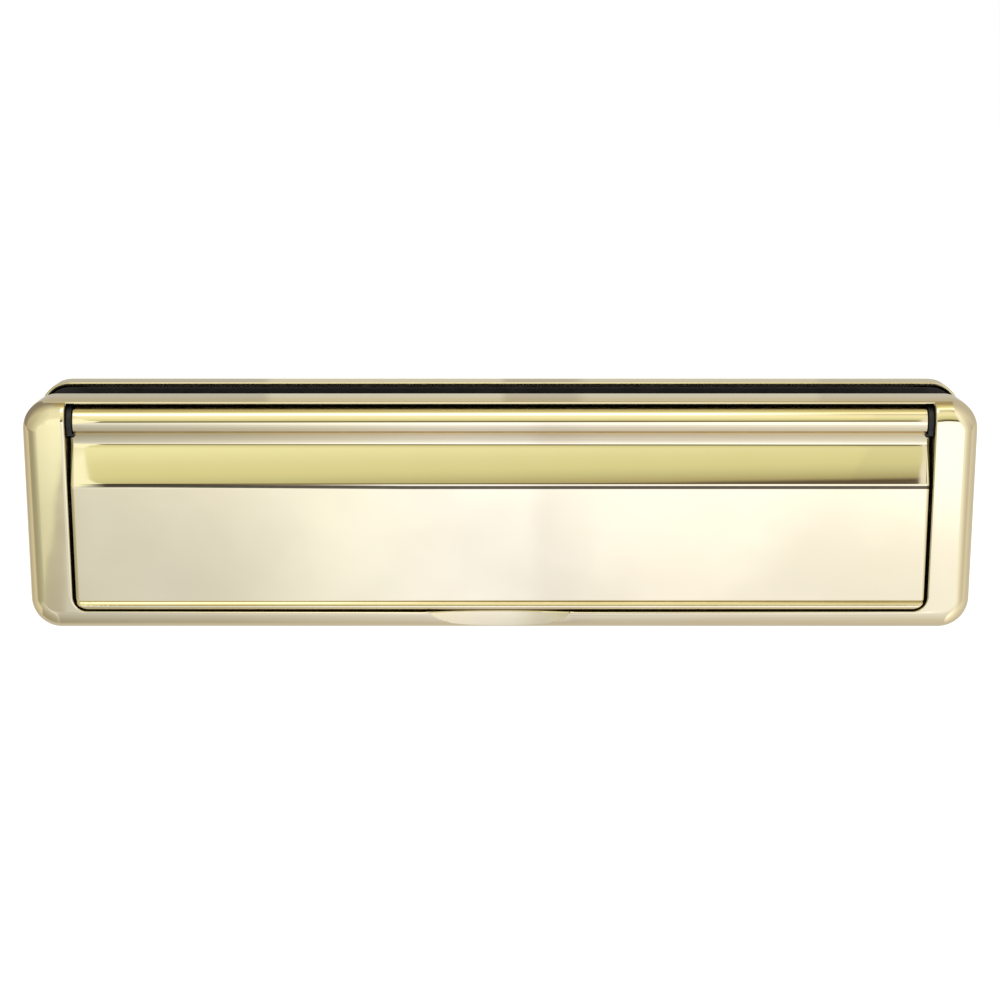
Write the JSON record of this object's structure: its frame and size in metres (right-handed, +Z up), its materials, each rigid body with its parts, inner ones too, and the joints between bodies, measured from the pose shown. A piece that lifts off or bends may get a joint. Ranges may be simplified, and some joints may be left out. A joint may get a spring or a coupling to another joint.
{
  "type": "door letterplate",
  "caption": "Telescopic sleeved letterplate for a door: a polished gold plate with a sprung flap on each face, black sleeves and gaskets between them.",
  "frame": {"origin": "centre of the whole fitting: mid length, mid height and half way through the door", "axes": "+X along the plates, +Z up, -Y towards the street"},
  "size_m": [0.31, 0.048, 0.0768],
  "materials": {
    "gold_finish": "mirror polished, pale gold",
    "black_plastic": "moulded, fine satin",
    "black_nylon": "moulded, low sheen",
    "rubber": "matt",
    "foam": "closed cell foam, matt",
    "zinc_steel": "zinc plated",
    "spring_steel": "drawn wire"
  },
  "bodies": {
    "street_half": {"outer_plate": "gold_finish", "outer_hinge_rod": "zinc_steel", "outer_chassis": "black_plastic", "outer_flap_seal": "rubber", "outer_gasket": "foam", "outer_spring_left": "spring_steel", "outer_spring_right": "spring_steel", "fixing_post_left": "zinc_steel", "fixing_post_right": "zinc_steel", "outer_chassis_screw_1": "zinc_steel", "outer_chassis_screw_2": "zinc_steel", "outer_chassis_screw_3": "zinc_steel", "outer_chassis_screw_4": "zinc_steel"},
    "street_flap": {"outer_flap": "gold_finish", "outer_hinge_cap_left": "black_nylon", "outer_hinge_cap_right": "black_nylon"},
    "house_half": {"inner_plate": "gold_finish", "inner_hinge_rod": "zinc_steel", "inner_chassis": "black_plastic", "inner_flap_seal": "rubber", "inner_gasket": "foam", "inner_spring_left": "spring_steel", "inner_spring_right": "spring_steel", "fixing_bolt_left": "zinc_steel", "fixing_bolt_right": "zinc_steel", "inner_chassis_screw_1": "zinc_steel", "inner_chassis_screw_2": "zinc_steel", "inner_chassis_screw_3": "zinc_steel", "inner_chassis_screw_4": "zinc_steel"},
    "house_flap": {"inner_flap": "gold_finish", "inner_hinge_cap_left": "black_nylon", "inner_hinge_cap_right": "black_nylon"}
  },
  "joints": [
    {"name": "street_flap_hinge", "type": "hinge", "parent": "street_half", "child": "street_flap", "pos_m": [0, -0.01685, 0.0306], "axis": [-1, 0, 0], "range_deg": [0, 95], "stiffness_Nm_per_rad": 0.06, "springref_deg": -17.19},
    {"name": "sleeve_slide", "type": "slide", "parent": "street_half", "child": "house_half", "axis": [0, 1, 0], "range_m": [0, 0.02]},
    {"name": "house_flap_hinge", "type": "hinge", "parent": "house_half", "child": "house_flap", "pos_m": [0, 0.01685, 0.0306], "axis": [1, 0, 0], "range_deg": [0, 95], "stiffness_Nm_per_rad": 0.06, "springref_deg": -17.19}
  ]
}
